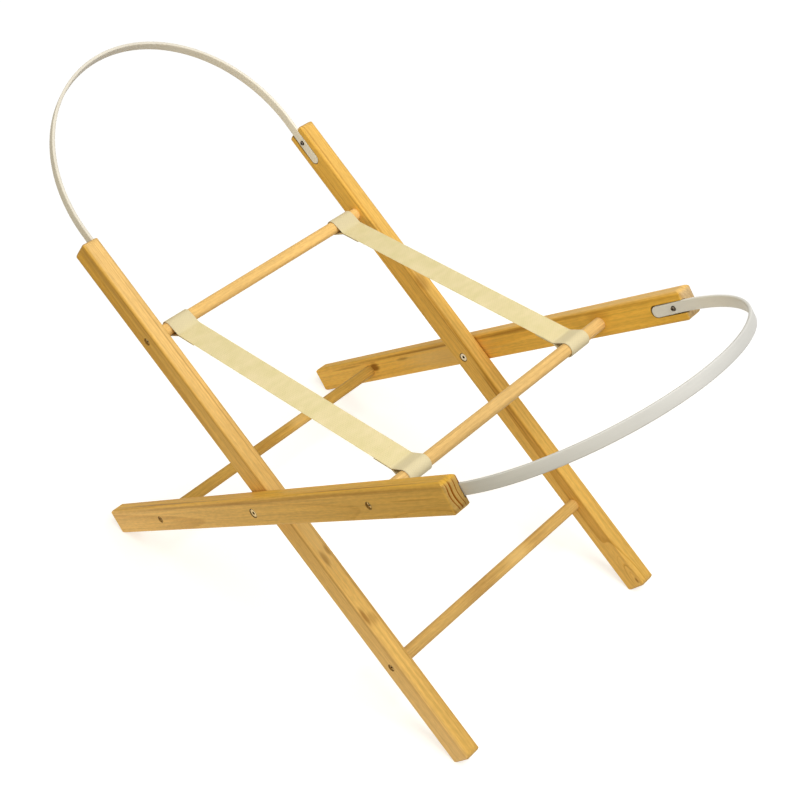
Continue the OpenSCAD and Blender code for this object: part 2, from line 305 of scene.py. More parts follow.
def drawn_out(tree, where, long, wide, detail=2.0, roughness=0.5):
    """Noise whose patches are that long along a piece and that wide across it, in metres."""
    scale = (1 / long, 1 / wide, 1 / wide)
    stretched = add(tree, "VectorMath", {0: where, 1: scale}, operation="MULTIPLY")
    noise = {"Vector": stretched, "Scale": 1.0, "Detail": detail, "Roughness": roughness}
    return add(tree, "TexNoise", noise)


print("patches of 10 by 2 mm need noise at scales of", round(1 / (10 * mm)), "and", round(1 / (2 * mm)))

# %% [markdown]
# ## Varnished pine
#
# The legs and rails are pine, planed, sanded and sealed with a clear satin varnish. The eye sees a
# warm honey colour, growth rings that show as straight lines on the narrow faces and as long waves on
# the wide ones, fine fibres along the piece, and lines of rings on the darker sawn ends.
#
# A flat wood picture wrapped on each face would break at every edge. Real grain is solid, so this one
# is too: each board gets its own trunk, whose pith line runs a little askew outside the board, and the
# rings are simply the distance from that line. Cutting the board out of the trunk then puts lines,
# waves and end grain where they belong. A branch that grew near the board lifts the rings to a swell:
# its cut shows as nested arches, and as a knot where the branch itself comes through.
#
# A board is described in mm, in its own axes: the place and turn of its pith line, the spacing of its
# rings, how much they show, and its marks, each with a place, a size and a share. Heights are written
# upwards, so they are turned over for a board whose own z axis points down, which has an up of -1.

# %% A board, its marks and its pith
plain_board = {
    "ring": 6, "contrast": 0.45, "patchy": 0.1, "end_grain": (0.85, 0.92, 0.6), "up": 1,
    "swells": (), "streaks": (), "pale": (),
}
wander = (250 * mm, 40 * mm)
sway = 2.5 * mm


def marks_on(board, kind):
    """The marks of one kind in metres, as (place, size, share)."""
    marks = []
    for (x, y, z), size, share in board[kind]:
        marks.append((Vector((x, y, board["up"] * z)) * mm, Vector(size) * mm, share))
    return marks


def away_from(tree, here, centre, size):
    """Distance from a mark's middle, where its edge is 1 in every direction."""
    mark = {"Vector": here, "Location": centre, "Scale": size}
    near = add(tree, "Mapping", mark, vector_type="TEXTURE")
    return add(tree, "VectorMath", {0: near}, operation="LENGTH")


def off_pith(tree, here, board):
    """Distance from the pith line. The rings wander by a few mm, and swell where a branch was."""
    drift = drawn_out(tree, here, *wander).outputs["Color"]
    to_and_fro = {0: drift, 1: (0, sway, sway), 2: (0, -sway / 2, -sway / 2)}
    push = add(tree, "VectorMath", to_and_fro, operation="MULTIPLY_ADD")
    place, turned = board["trunk"]
    trunk = {"Vector": here, "Location": Vector(place) * mm, "Rotation": turned}
    in_trunk = add(tree, "Mapping", trunk, vector_type="TEXTURE")
    off = add(tree, "VectorMath", {0: in_trunk, 1: (0, 1, 1), 2: push}, operation="MULTIPLY_ADD")
    radius = add(tree, "VectorMath", {0: off}, operation="LENGTH")
    for centre, size, lift in marks_on(board, "swells"):
        far = away_from(tree, here, centre, size)
        hill = add(tree, "Math", {0: far, 1: 2.0}, operation="POWER")
        hill = add(tree, "Math", {0: hill, 1: -1.0}, operation="MULTIPLY")
        hill = add(tree, "Math", {0: hill}, operation="EXPONENT")
        radius = add(tree, "Math", {0: hill, 1: lift * mm, 2: radius}, operation="MULTIPLY_ADD")
    return radius


print("rings", plain_board["ring"], "mm apart, wandering by", round(sway / mm, 1), "mm")

# %% [markdown]
# A tree grows well in one year and poorly in the next, so the rings are not evenly spaced, and some show
# more than others. The distance from the pith in rings, with some slow noise added, gives both: its
# fraction is the place in the year, and its whole part numbers the year.

# %% Growth rings of a board
luck_changes = 0.6
luck_spread = 1.4


def growth_rings(tree, here, board):
    """Place in the year, from 0 to 1, and a random number for the year."""
    radius = off_pith(tree, here, board)
    even = add(tree, "Math", {0: radius, 1: board["ring"] * mm}, operation="DIVIDE")
    luck = add(tree, "TexNoise", {"W": even, "Scale": luck_changes}, noise_dimensions="1D")
    count = add(tree, "Math", {0: luck, 1: luck_spread, 2: even}, operation="MULTIPLY_ADD")
    year = add(tree, "Math", {0: count}, operation="FRACT")
    number = add(tree, "Math", {0: count}, operation="FLOOR")
    return year, add(tree, "TexWhiteNoise", {"W": number}, noise_dimensions="1D")


print("luck changes every", round(1 / luck_changes, 1), "rings")

# %% [markdown]
# The fibres of pine are far finer than a pixel, so they are drawn coarser: as streaks 3 mm and less
# across and about 200 mm long, with faint flecks of 10 mm among them. Broader bands, 12 mm across, make
# parts of the board lighter and darker. Each of the three turns into a tone, and the tones are multiplied.

# %% Fibres, flecks and bands of a board
fibre_size = (200 * mm, 2.94 * mm)
fleck_size = (10 * mm, 2 * mm)
band_size = (286 * mm, 11.8 * mm)


def fibres(tree, here, patchy):
    """The fibres' noise, and the tone that fibres, bands and flecks give together."""
    fibre = drawn_out(tree, here, *fibre_size, detail=4.0, roughness=0.65)
    band = drawn_out(tree, here, *band_size)
    fleck = drawn_out(tree, here, *fleck_size)
    tone = 1.0
    for noise, low, high, dark, bright in (
        (fibre, 0.28, 0.72, 0.83, 1.12),
        (band, noise_low, noise_high, 1 - patchy / 2, 1 + patchy / 2),
        (fleck, noise_low, noise_high, 0.93, 1.08),
    ):
        part = add(tree, "MapRange", {0: noise, 1: low, 2: high, 3: dark, 4: bright})
        tone = add(tree, "Math", {0: tone, 1: part}, operation="MULTIPLY")
    return fibre, tone


print("fibres drawn", [round(size / mm) for size in fibre_size], "mm long and wide")

# %% [markdown]
# A board is not one colour. Its tone and its richness, which is how golden it is, drift from the foot to
# the top, and the wide faces, which lie flat to the rings, have other ones than the narrow ones. So each
# board has four colours, one for either end of either kind of face, and every point gets a mix of them.
# They are partly the wood's own colour and partly painted light and shade: they set the shaded sides and
# the lit upper faces apart, and brighten or darken stretches of a leg where light or shade falls on it.
# The last few millimetres before either end count as sawn.

# %% Tone and richness of a board, with painted light and shade
narrow_to = 8 * mm
wide_from = 11.3 * mm
sawn_from = 3.5 * mm
sawn_to = 0.8 * mm


def tone_richness_and_painted_light(tree, here, ends, board):
    """How bright and how golden a point is, partly painted light and shade. Both kinds of face hold (tone,
    richness) at foot and top.
    """
    part = add(tree, "SeparateXYZ", {0: here}).outputs
    along = add(tree, "MapRange", {0: part[0], 1: ends[0], 2: ends[1]})
    off_middle = add(tree, "Math", {0: part[1]}, operation="ABSOLUTE")
    on_wide = add(tree, "MapRange", {0: off_middle, 1: narrow_to, 2: wide_from})
    faces = []
    for foot, top in (board["narrow"], board["wide"]):
        faces.append(add(tree, "Mix", {0: along, 4: (*foot, 0), 5: (*top, 0)}, data_type="VECTOR"))
    both = add(tree, "Mix", {0: on_wide, 4: faces[0], 5: faces[1]}, data_type="VECTOR")
    split = add(tree, "SeparateXYZ", {0: both}).outputs
    return split[0], split[1]


def sawn_ends(tree, here, ends):
    """1 on the sawn ends of a board, and 0 between them."""
    middle = (ends[0] + ends[1]) / 2
    half = (ends[1] - ends[0]) / 2
    run = add(tree, "SeparateXYZ", {0: here}).outputs[0]
    off_middle = add(tree, "Math", {0: run, 1: -middle}, operation="ADD")
    off_middle = add(tree, "Math", {0: off_middle}, operation="ABSOLUTE")
    return add(tree, "MapRange", {0: off_middle, 1: half - sawn_from, 2: half - sawn_to})


print("wide faces take their own colour from", round(wide_from / mm, 1), "mm off a board's middle")

# %% [markdown]
# Knots leave brown streaks that fray out along the fibres, and sapwood leaves pale ones. The same pale
# also paints light where shadows fall on the legs, and the same kind of mark paints shade along the
# legs' edges, round the sunk screw heads and along the recesses of the hoops. They are all the same thing
# to a painter: a place, a size and a colour. So one function stains a spot of any of them, and a second
# one paints the shade along the round-ended outline of a recess.

# %% Stains of knots, painted light and painted shade
# The knots' brown, also used for painted shade along the legs' edges.
knot_wood_and_painted_shade = "#804500"
# The pale of sapwood, also used as painted light where shadows fall on the legs.
sap_wood_and_painted_light = "#FFDC96"
# The brown of painted shade round the sunk screw holes and along the hoops' recesses.
painted_shade_brown = "#3A2710"
streak_edge = (0.3, 1.1)
pale_edge = (0.2, 1.2)
hole_edge = (1.0, 1.15)
fray_by = 0.8
recess_len = 54 * mm
recess_r = 8.3 * mm
recess_round = leg_top - recess_len + recess_r
recess_floor = 7 * mm
# How dark the painted shade along a recess is at most.
recess_shade_share = 0.6
recess_fade = 0.5 * mm


def stain_with_painted_light_and_shade(tree, here, colour, mark, edge, stain, fray=None):
    """Colour with a stain, painted light or painted shade, full up to the first share of the mark's size
    and gone at the second.
    """
    centre, size, share = mark
    far = away_from(tree, here, centre, size)
    if fray is not None:
        far = add(tree, "Math", {0: fray, 1: fray_by, 2: far}, operation="MULTIPLY_ADD")
        far = add(tree, "Math", {0: far, 1: -fray_by / 2}, operation="ADD")
    fade = {0: far, 1: edge[0], 2: edge[1], 3: share, 4: 0.0}
    shown = add(tree, "MapRange", fade, interpolation_type="SMOOTHSTEP")
    return add(tree, "Mix", {0: shown, 6: colour, 7: linear(stain)}, data_type="RGBA")


def painted_recess_shade(tree, here, colour, side):
    """Colour with painted shade along the hoop's recess, on the side of the board that holds it."""
    part = add(tree, "SeparateXYZ", {0: here}).outputs
    back = add(tree, "Math", {0: recess_round, 1: part[0]}, operation="SUBTRACT")
    back = add(tree, "Math", {0: back, 1: 0.0}, operation="MAXIMUM")
    flat = add(tree, "CombineXYZ", {0: back, 2: part[2]})
    far = add(tree, "VectorMath", {0: flat}, operation="LENGTH")
    outline = {0: far, 1: recess_r, 2: recess_r + recess_fade, 3: recess_shade_share, 4: 0.0}
    share = add(tree, "MapRange", outline)
    depth = add(tree, "Math", {0: part[1], 1: side}, operation="MULTIPLY")
    inside = add(tree, "Math", {0: depth, 1: recess_floor}, operation="GREATER_THAN")
    share = add(tree, "Math", {0: share, 1: inside}, operation="MULTIPLY")
    return add(tree, "Mix", {0: share, 6: colour, 7: linear(painted_shade_brown)}, data_type="RGBA")


print("recesses are", round(2 * recess_r / mm, 1), "mm wide")

# %% [markdown]
# Now the wood comes together. The pale early wood of a ring darkens towards the late wood and breaks
# off sharply at the next year. Sawn ends drink more varnish, so they are darker and duller, and the late
# wood of their rings turns brown.

# %% Bare pine
early_wood = "#EDC06A"
summer_wood = "#E4B35A"
late_wood = "#BE8936"
ring_stops = (
    (0.0, early_wood), (0.62, early_wood), (0.86, summer_wood), (0.94, late_wood), (0.98, late_wood),
    (1.0, early_wood),
)
least_shown = 0.3
brown_from = 0.45
brown_to = 0.88


def bare_pine(tree, here, ends, board):
    """Colour of a board without its marks, and its fibres' noise."""
    year, luck = growth_rings(tree, here, board)
    fibre, fibre_tone = fibres(tree, here, board["patchy"])
    tone, rich = tone_richness_and_painted_light(tree, here, ends, board)
    sawn = sawn_ends(tree, here, ends)
    end_tone, end_rich, end_brown = board["end_grain"]
    most = board["contrast"]
    rings = add(tree, "ValToRGB", {0: year}, stops=ring_stops)
    shown = add(tree, "MapRange", {0: luck, 3: least_shown * most, 4: most})
    colour = add(tree, "Mix", {0: shown, 6: linear(early_wood), 7: rings}, data_type="RGBA")
    darker = add(tree, "MapRange", {0: sawn, 3: 1.0, 4: end_tone})
    duller = add(tree, "MapRange", {0: sawn, 3: 1.0, 4: end_rich})
    tone = add(tree, "Math", {0: tone, 1: fibre_tone}, operation="MULTIPLY")
    tone = add(tree, "Math", {0: tone, 1: darker}, operation="MULTIPLY")
    rich = add(tree, "Math", {0: rich, 1: duller}, operation="MULTIPLY")
    colour = add(tree, "HueSaturation", {"Color": colour, "Value": tone, "Saturation": rich})
    brown = add(tree, "MapRange", {0: year, 1: brown_from, 2: brown_to, 3: 0.0, 4: end_brown})
    brown = add(tree, "Math", {0: brown, 1: sawn}, operation="MULTIPLY")
    colour = add(tree, "Mix", {0: brown, 6: colour, 7: linear(knot_wood_and_painted_shade)}, data_type="RGBA")
    return colour, fibre


print("pine rings from", early_wood, "to", late_wood)

# %% [markdown]
# The board's marks go on top of the wood, and then the varnish: a dull satin that reflects little and lets
# the fibres show through as a faint relief.

# %% Varnished pine
fibre_relief = 0.3 * mm
satin_smooth = 0.4
satin_rough = 0.55


def varnished_pine(name, place, turned, ends, board, holes=(), recess_side=0):
    """Pine for one board at a place and turn in the stand, between its two ends."""
    finish, tree = empty_finish(name)
    board = {**plain_board, **board}
    in_stand = add(tree, "TexCoord", {}).outputs["Object"]
    axes = {"Vector": in_stand, "Location": place, "Rotation": turned}
    here = add(tree, "Mapping", axes, vector_type="TEXTURE")
    colour, fibre = bare_pine(tree, here, ends, board)
    # Pale marks: pale wood, and painted light where shadows fall on the legs.
    for mark in marks_on(board, "pale"):
        colour = stain_with_painted_light_and_shade(tree, here, colour, mark, pale_edge, sap_wood_and_painted_light, fibre)
    # Knot streaks, and painted shade along the legs' edges.
    for mark in marks_on(board, "streaks"):
        colour = stain_with_painted_light_and_shade(tree, here, colour, mark, streak_edge, knot_wood_and_painted_shade, fibre)
    # Painted shade round the holes of the screws and the bolt.
    for mark in holes:
        colour = stain_with_painted_light_and_shade(tree, here, colour, mark, hole_edge, painted_shade_brown)
    # Painted shade along the hoop's recess.
    if recess_side:
        colour = painted_recess_shade(tree, here, colour, recess_side)
    gloss = add(tree, "MapRange", {0: fibre, 1: 0.2, 2: 0.8, 3: satin_smooth, 4: satin_rough})
    relief = add(tree, "Bump", {"Height": fibre, "Strength": 0.1, "Distance": fibre_relief})
    varnish = {
        "Base Color": colour, "Roughness": gloss, "Normal": relief,
        "IOR": 1.5, "Specular IOR Level": 0.07,
    }
    wood = add(tree, "BsdfPrincipled", varnish)
    add(tree, "OutputMaterial", {"Surface": wood})
    return finish


print("fibres stand", round(fibre_relief / mm, 1), "mm proud under the varnish")

# %% [markdown]
# ## Legs
#
# Each leg is a bar of 23 by 39 mm, sawn so that the rings lie flat to its wide face. A leg's board axes
# are its own axes at the pivot. No two legs come from the same place in a tree, so each gets a trunk
# of its own, its own colours, which hold painted light and shade too, and swells where branches were
# near: arches at the near outer leg's top, and arches round a small knot at the far inner foot. Brown
# streaks mark a knot beside the far outer leg's stretcher and run along most of the legs. A darker band
# along the upper part of the near inner leg's front by its top, a long streak high on the far outer leg's
# front, and a faint dark line along every leg's arris, where the front face meets the upper one, are
# painted shade of that edge. Pale patches on the near inner leg's top by the crossing and on the far
# outer leg's front are painted light where the crossing legs and the strap throw shadow, the far one
# partly paler wood too.

# %% Grain of the four legs, in mm
front = -11.5
upper = 19.5
leg_boards = {
    "outer_leg_near": {
        "trunk": ((0, 74, -8), (0, 0.003, 0.009)), "ring": 5.5,
        "narrow": ((1.14, 1.06), (0.84, 1.09)), "wide": ((1.13, 0.9), (0.83, 1.04)),
        "contrast": 0.4, "end_grain": (0.66, 0.9, 1.0),
        "swells": (((335, front, -27), (85, 40, 20), 14),),
        "streaks": (
            ((-250, -5, upper), (140, 2, 6), 0.6), ((210, -6, upper), (170, 2, 6), 0.55),
            ((330, front, 3), (55, 12, 1.5), 0.3),
        ),
    },
    "outer_leg_far": {
        "trunk": ((0, 66, 12), (0, -0.004, 0.008)),
        "narrow": ((1.08, 1.12), (1.04, 0.92)), "wide": ((1.2, 1.03), (1.06, 1.09)),
        "contrast": 0.25, "end_grain": (0.7, 0.81, 0.15),
        # Painted light where the crossing legs and the strap throw shadow, partly paler wood.
        "pale": (((-65, front, 0), (120, 12, 22), 0.5),),
        "streaks": (
            ((-240, front, 4), (14, 12, 10), 0.8), ((-165, front, 8), (16, 12, 3), 0.45),
            # The first streak on the next line, high on the front, is painted shade along its upper edge.
            ((-130, front, 14.5), (115, 12, 1.6), 0.45), ((-310, front, 11), (45, 12, 2.5), 0.35),
            ((90, front, 14), (80, 12, 3.5), 0.4), ((250, front, 9), (26, 12, 9), 0.3),
        ),
    },
    "inner_leg_near": {
        "trunk": ((0, -62, 9), (0, 0.004, 0.006)),
        "narrow": ((0.88, 1.0), (1.08, 0.89)), "wide": ((0.97, 0.88), (0.99, 1.07)),
        # Painted light over the shadow of the outer leg by the crossing.
        "pale": (((-50, 0, upper), (75, 16, 8), 0.45),),
        "streaks": (
            # The first streak on the next line is a darker band painted along the upper part of the front
            # by the top end, as painted shade.
            ((330, front, 11), (150, 12, 7), 0.3), ((160, 4, upper), (230, 1.4, 6), 0.35),
            ((-150, 7, upper), (200, 1.2, 6), 0.35), ((-97, -4, upper), (15, 4.5, 6), 0.45),
            ((-90, 5, upper), (10, 3, 6), 0.45), ((-183, -8, upper), (17, 4, 6), 0.6),
            ((-190, -1, upper), (12, 8, 6), 0.3),
        ),
    },
    "inner_leg_far": {
        "trunk": ((0, 68, -14), (0, -0.004, 0.008)),
        "narrow": ((0.9, 1.02), (1.1, 1.0)), "wide": ((0.96, 1.0), (1.19, 1.06)),
        "contrast": 0.75,
        "swells": (((-390, front, 10), (44, 14, 12), 22),),
        "streaks": (
            ((-388, front, 11), (6, 12, 2.5), 0.7), ((118, -4, upper), (18, 12, 9), 0.35),
            ((-78, front, 9), (70, 12, 1.8), 0.35), ((300, front, -4), (60, 12, 2), 0.3),
        ),
    },
}
# A faint dark line painted along every leg's arris, as painted shade of that edge.
arris_shade_line = ((0, front, 15.5), (600, 4, 2.6), 0.34)
print("streaks on the legs:", {node: len(grain["streaks"]) for node, grain in leg_boards.items()})

# %% [markdown]
# The holes for the screws and the bolt go right through a leg, and so does the painted shade round them.
# Each leg has its hoop's recess in its inner face, with painted shade along it: the far side of a near leg,
# and the near side of a far one. An inner leg's board is turned over, so its z axis points down.

# %% Pine for the four legs
leg_turn = {"outer": (0, -leg_angle, 0), "inner": (0, math.pi + leg_angle, 0)}
through = 10.0
screw_hole = (4.9 * mm, through, 4.9 * mm)
bolt_hole = (6.3 * mm, through, 6.3 * mm)
# Each hole, with how dark the painted shade round it is.
leg_holes = (
    ((upper_rail, 0, 0), screw_hole, 0.65),
    ((lower_rail, 0, 0), screw_hole, 0.65),
    ((0, 0, 0), bolt_hole, 0.85),
)


def dress(node, finish):
    """Gives a CAD node its finish."""
    frame["nodes"][node].material_slots[0].material = finish


for node, grain in leg_boards.items():
    which, _, side = node.split("_")
    middle = pivot + Vector((0, side_y[side] * leg_y[which], 0))
    board = {**grain, "up": lean_x[which], "streaks": (arris_shade_line,) + grain["streaks"]}
    pine = varnished_pine(
        "varnished_pine_" + node, middle, leg_turn[which], (leg_foot, leg_top), board, leg_holes,
        recess_side=-side_y[side],
    )
    dress(node, pine)
print("legs:", len(leg_boards), "boards with their own grain")

# %% [markdown]
# ## Rails and stretchers
#
# The four round bars are 17 mm dowels, turned from the same pine, so the grain runs along them. They
# are cut from narrow strips of paler wood, and the lower ones show cloudy patches along their
# length. A dowel's board axes are turned a quarter, so that x runs across the stand.

# %% Pine for the four dowels
dowel_turn = (0, 0, math.pi / 2)
dowel_boards = {
    "outer_upper_dowel": (((0, 30, 21), (0, 0.02, 0.01)), 0.1, (0.97, 0.89)),
    "outer_lower_dowel": (((0, -26, 30), (0, 0.03, -0.02)), 0.2, (0.77, 1.03)),
    "inner_upper_dowel": (((0, 34, -16), (0, -0.02, 0.02)), 0.1, (1.13, 0.91)),
    "inner_lower_dowel": (((0, 22, 28), (0, 0.03, 0.02)), 0.22, (0.86, 0.95)),
}
cloudy_rail = {
    "streaks": (((-28, 0, 0), (42, 20, 20), 0.22), ((88, 0, 0), (26, 20, 20), 0.2)),
    "pale": (((45, 0, 0), (26, 20, 20), 0.4),),
}
rail_at = {"upper": upper_rail, "lower": lower_rail}
rail_marks = {"upper": {}, "lower": cloudy_rail}
for node, (trunk, patchy, all_over) in dowel_boards.items():
    which, level, _ = node.split("_")
    colours = (all_over, all_over)
    board = {"trunk": trunk, "patchy": patchy, "narrow": colours, "wide": colours, **rail_marks[level]}
    middle = along_leg(which, rail_at[level])
    ends = (-leg_y[which], leg_y[which])
    dress(node, varnished_pine("turned_pine_" + node, middle, dowel_turn, ends, board))
print("dowels:", len(dowel_boards))

# %% [markdown]
# ## Screws and bolts
#
# The dowels are held by countersunk steel screws with a yellow passivated plating, which looks like
# dull brass, sunk below the face of the leg. The pivot bolts have a paler yellow plating, the sleeve nuts
# are nickel-plated, the washers zinc-plated, and the hoop screws are drawn dark, partly as painted shade
# of the recess they sit in. All of them have a satin shine. Their slots and sockets get painted shade,
# which darkens the finish with depth below the head: the distance from the stand's middle tells it,
# because every fastener runs straight across the stand. The plating's cloudiness is too fine to show, so
# it is drawn as specks of about 1 mm.

# %% Plated steel with painted shade in its slots
plating_speck = 1.111 * mm
painted_slot_shade = "#1E150B"
duller_by = 0.15


def plated_steel(name, bright, dull, black, unshaded, shine):
    """Plating on turned steel, with painted shade in its slots: black at one distance from the middle of
    the stand, gone at another.
    """
    finish, tree = empty_finish(name)
    place = add(tree, "TexCoord", {}).outputs["Object"]
    speck = add(tree, "TexNoise", {"Vector": place, "Scale": 1 / plating_speck, "Detail": 3.0})
    plating = add(tree, "ValToRGB", {0: speck}, stops=((noise_low, dull), (noise_high, bright)))
    across = add(tree, "SeparateXYZ", {0: place}).outputs[1]
    off_middle = add(tree, "Math", {0: across}, operation="ABSOLUTE")
    # Painted shade in the slots and sockets, darker with depth below the head.
    out_of_slot_shade = add(tree, "MapRange", {0: off_middle, 1: black, 2: unshaded})
    colour = add(tree, "Mix", {0: out_of_slot_shade, 6: linear(painted_slot_shade), 7: plating}, data_type="RGBA")
    rough = add(tree, "MapRange", {0: speck, 3: shine, 4: shine + duller_by})
    metal = add(tree, "BsdfPrincipled", {"Base Color": colour, "Metallic": 1.0, "Roughness": rough})
    add(tree, "OutputMaterial", {"Surface": metal})
    return finish


print("plating drawn with specks of", round(plating_speck / mm, 1), "mm")

# %% [markdown]
# Each kind of fastener has its two plating colours, the place of its head, how far from it the slot's
# painted shade is black and where it is gone, in mm outwards, and its shine. The hoop screws and the
# sleeve nuts face the middle of the stand, so their slots go outwards. A washer has no slot: it has no
# painted shade.

# %% Finishes of the fasteners
bolt_head = outside_y["outer"] - 0.6 * mm
nut_head = inside_y["inner"] + 0.55 * mm
fasteners = {
    "yellow_plated_bolt": (
        "#DDC48D", "#AE905A", bolt_head, -0.9, -0.2, 0.25, ("pivot_bolt_near", "pivot_bolt_far")
    ),
    "nickel_plated_sleeve_nut": (
        "#E3D6BA", "#B3A382", nut_head, 0.9, 0.2, 0.25, ("sleeve_nut_near", "sleeve_nut_far")
    ),
    "zinc_plated_washer": (
        "#C9C6BF", "#A9A69E", 0.0, 0.0, 100.0, 0.3, ("pivot_washer_near", "pivot_washer_far")
    ),
}
for which in ("outer", "inner"):
    sunk_head = outside_y[which] - 1.4 * mm
    pan_head = inside_y[which] - 2 * mm
    rail_screws = (which + "_upper_screws", which + "_lower_screws")
    hoop_screws = (which + "_hoop_screws",)
    fasteners["yellow_plated_screw_" + which] = (
        "#F0D390", "#C79B52", sunk_head, -0.7, -0.1, 0.25, rail_screws
    )
    # The hoop screws are drawn dark, partly as painted shade of the recess they sit in.
    fasteners["bronzed_hoop_screw_" + which] = (
        "#7D7264", "#453D34", pan_head, 1.3, 0.1, 0.28, hoop_screws
    )
for name, (bright, dull, head, black, unshaded, shine, nodes) in fasteners.items():
    plating = plated_steel(name, bright, dull, head + black * mm, head + unshaded * mm, shine)
    for node in nodes:
        dress(node, plating)
print("finishes of the fasteners:", sorted(fasteners))

# %% [markdown]
# ## Strips: one way to make straps and hoops
#
# A strap and a hoop are both long strips that follow a line. Blender's curve bevel could make them,
# but it gives little control over the ends and no lengths to hang a weave on. So a strip is swept
# in mesh code: the line is a list of places, each with the direction out of the strip's face and the
# distance run, and the section is a closed ring of points. The strip also gets a UV map in metres,
# along the strip and across it, so that patterns can be drawn at their real size.

# %% Sweep a section along a line
strip_map = "strip"
across_stand = Vector((0, 1, 0))


def tube_faces(base, rings, size):
    """Faces of a closed tube. Its rings have that many points each, and start at point number base."""
    faces = []
    for ring in range(base, base + (rings - 1) * size, size):
        for j in range(size):
            k = (j + 1) % size
            faces.append((ring + j, ring + k, ring + size + k, ring + size + j))
    last = base + (rings - 1) * size
    faces.append(tuple(reversed(range(base, base + size))))
    faces.append(tuple(range(last, last + size)))
    return faces


def sweep(name, places, sections, across, finish):
    """A closed strip. places hold (point, out of face, distance), sections rings of (across, out)."""
    size = len(sections[0])
    points = []
    for (point, out, _), section in zip(places, sections):
        points += [point + a * across + o * out for a, o in section]
    strip = new_piece(name, points, tube_faces(0, len(places), size), finish)
    uv = strip.data.uv_layers.new(name=strip_map)
    for loop in strip.data.loops:
        i, j = divmod(loop.vertex_index, size)
        uv.data[loop.index].uv = (places[i][2], sections[i][j][0])
    strip.data.shade_smooth()
    strip.data.validate()
    print(name, "is", round(places[-1][2] / mm, 1), "mm long, with", len(strip.data.polygons), "faces")
    return strip


print("a tube of 2 rings of 4 points has", len(tube_faces(0, 2, 4)), "faces")

# %% [markdown]
# ## Straps
#
# A strap is one piece of webbing. Each end goes round an upper rail and back under the strap, where
# it is sewn down, so the end makes a teardrop loop. The line of the strap is laid like a tape: straight
# under the strap, a small bend at the seam, the wrap round the rail, the bend back at the seam, and
# straight on to the other rail, where the same moves follow in reverse. The length of that tape is the
# length the webbing was cut to.

# %% Lay the tape of a strap
strap_w = 35 * mm
strap_t = 1.6 * mm
rail_apart = (along_leg("outer", upper_rail) - pivot).x
rail_z = along_leg("outer", upper_rail).z
wrap_r = 9.6 * mm
wrap_inside_r = 8.8 * mm
seam_reach = 19 * mm
under_len = 28 * mm
bend_r = 6 * mm
wrap_turn = math.acos(wrap_inside_r / seam_reach)
seam_turn = math.pi / 2 - wrap_turn
seam_x = (wrap_r - strap_t / 2 * math.sin(wrap_turn)) / math.cos(wrap_turn)
bend_run = bend_r * math.tan(seam_turn / 2)
slope_run = (seam_x - wrap_r * math.cos(wrap_turn)) / math.sin(wrap_turn) - bend_run
wrap_all = 2 * (math.pi - wrap_turn)
moves = [
    (seam_reach + under_len - seam_x - bend_run, 0, 4 * mm),
    (bend_r * seam_turn, seam_turn, 1 * mm),
    (slope_run, 0, 2.5 * mm),
    (wrap_r * wrap_all, -wrap_all, 1.3 * mm),
    (slope_run, 0, 2.5 * mm),
    (bend_r * seam_turn, seam_turn, 1 * mm),
    (2 * rail_apart - 2 * (seam_x + bend_run), 0, 5 * mm),
]
moves += moves[-2::-1]


def lay_tape(start, heading, moves):
    """Places along the tape as (x, z, heading, distance run). A move is its length, turn and step."""
    x, z = start
    run = 0.0
    places = [(x, z, heading, run)]
    for length, turn_by, step in moves:
        count = max(1, round(length / step))
        for _ in range(count):
            heading += turn_by / count / 2
            x += length / count * math.cos(heading)
            z += length / count * math.sin(heading)
            heading += turn_by / count / 2
            run += length / count
            places.append((x, z, heading, run))
    return places


tape = lay_tape((-rail_apart + seam_reach + under_len, -strap_t / 2), math.pi, moves)
strap_len = tape[-1][3]
tape_end = [round(c / mm, 2) for c in tape[-1][:2]]
print("strap:", len(tape), "rows, cut length", round(strap_len / mm, 1), "mm, ends at", tape_end)

# %% [markdown]
# ## Strap webbing
#
# The straps are 35 mm cotton webbing in natural cream, woven flat with ribs along its length. Its
# surface is dull, a little fuzzy at a low angle, and slightly cloudy in colour. The ribs are real
# bumps in the mesh, 2.5 mm apart. The cross threads lie about 1 mm apart on the real webbing: that is
# too fine to show at this size, so they are drawn 3.2 mm apart, as soft relief in the finish and as
# painted shade that darkens and lightens the colour with that relief, and each rib has them half a step
# on from the next. Where the strap wraps the rails, its ends are drawn a little more beige.

# %% Woven cotton webbing
rib = 2.5 * mm
thread_step = 3.2 * mm
thread_deep = 0.15 * mm
thread_shade_dark = 0.965
thread_shade_pale = 1.01
cream_dark = "#E5DAA8"
cream_pale = "#EFE2B8"
beige = "#E4D9B5"
beige_len = 110 * mm
beige_fade = 20 * mm
cream_half = strap_len / 2 - beige_len
cloud_size = (11.11 * mm, 25 * mm)
webbing, tree = empty_finish("woven_cotton_webbing")
cloth = add(tree, "UVMap", {}, uv_map=strip_map)
part = add(tree, "SeparateXYZ", {0: cloth}).outputs
row = add(tree, "Math", {0: part[1], 1: rib}, operation="DIVIDE")
row = add(tree, "Math", {0: row}, operation="FLOOR")
pick = add(tree, "Math", {0: part[0], 1: thread_step}, operation="DIVIDE")
pick = add(tree, "Math", {0: row, 1: 0.5, 2: pick}, operation="MULTIPLY_ADD")
pick = add(tree, "Math", {0: pick, 1: math.tau}, operation="MULTIPLY")
thread = add(tree, "Math", {0: pick}, operation="SINE")
cloud = drawn_out(tree, cloth, *cloud_size, detail=3.0)
cream = add(tree, "ValToRGB", {0: cloud}, stops=((noise_low, cream_dark), (noise_high, cream_pale)))
off_middle = add(tree, "Math", {0: part[0], 1: -strap_len / 2}, operation="ADD")
off_middle = add(tree, "Math", {0: off_middle}, operation="ABSOLUTE")
limits = {0: off_middle, 1: cream_half, 2: cream_half + beige_fade}
at_ends = add(tree, "MapRange", limits, interpolation_type="SMOOTHSTEP")
